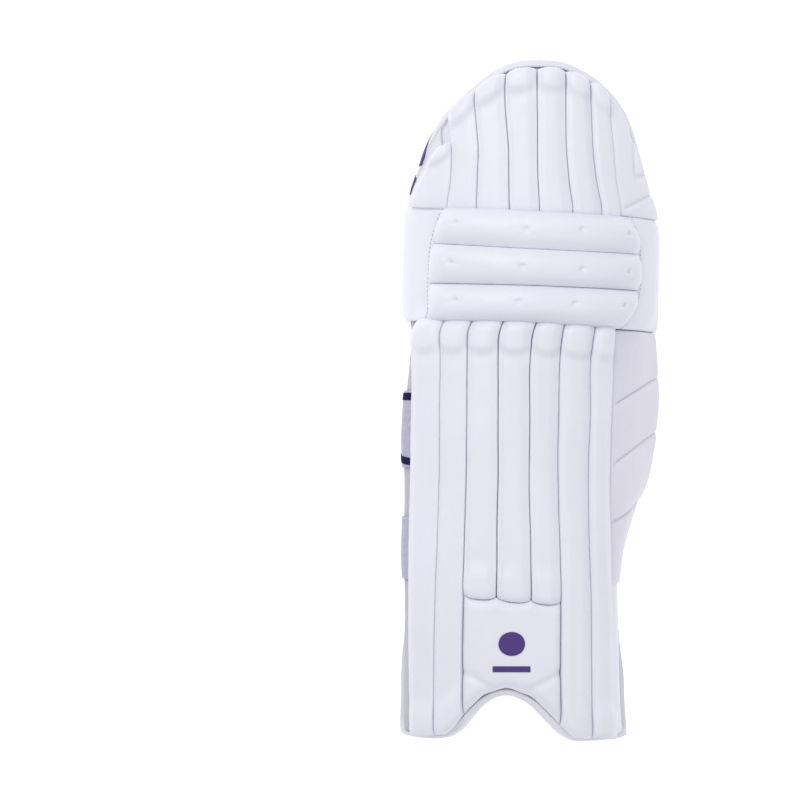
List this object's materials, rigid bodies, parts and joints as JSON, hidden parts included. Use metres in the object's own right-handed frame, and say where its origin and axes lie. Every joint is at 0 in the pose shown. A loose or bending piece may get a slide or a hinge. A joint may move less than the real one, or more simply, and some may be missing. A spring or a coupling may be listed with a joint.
{
  "type": "cricket batting pad",
  "caption": "White padded leg guard with long shin rolls, a rolled knee, a domed thigh part, a side wing, and straps that close behind the leg.",
  "frame": {"origin": "centre of the overall box in X and Y, on the floor that the pad lies on", "axes": "+Z out of the front face, +Y from the foot end to the thigh end, +X to the viewer's right, where the side wing is"},
  "size_m": [0.2622, 0.6801, 0.1257],
  "materials": {
    "white_leather": "smooth coated leather with a soft sheen",
    "back_lining": "plain off-white lining",
    "edge_tape": "white binding tape",
    "strap_fabric": "soft napped webbing",
    "strap_trim": "dark indigo ribbon",
    "accent_purple": "smooth dark purple"
  },
  "bodies": {
    "root": {"ankle_strap": "strap_fabric", "back_panel": "back_lining", "calf_strap": "strap_fabric", "foot_binding": "edge_tape", "instep_mark_bar": "accent_purple", "instep_mark_disc": "accent_purple", "instep_pad": "white_leather", "knee_bolster_1": "white_leather", "knee_bolster_2": "white_leather", "knee_bolster_3": "white_leather", "knee_flap_left": "white_leather", "knee_flap_right": "white_leather", "shin_roll_1": "white_leather", "shin_roll_2": "white_leather", "shin_roll_3": "white_leather", "shin_roll_4": "white_leather", "shin_roll_5": "white_leather", "shin_roll_6": "white_leather", "shin_roll_7": "white_leather", "side_wing": "white_leather", "strap_trim_high": "strap_trim", "strap_trim_low": "strap_trim", "thigh_accent_lower": "accent_purple", "thigh_accent_upper": "accent_purple", "thigh_binding": "edge_tape", "thigh_roll_1": "white_leather", "thigh_roll_2": "white_leather", "thigh_roll_3": "white_leather", "thigh_roll_4": "white_leather", "thigh_roll_5": "white_leather", "thigh_roll_6": "white_leather", "thigh_roll_7": "white_leather", "thigh_side_panel": "white_leather", "thigh_side_tape": "edge_tape"}
  },
  "joints": []
}
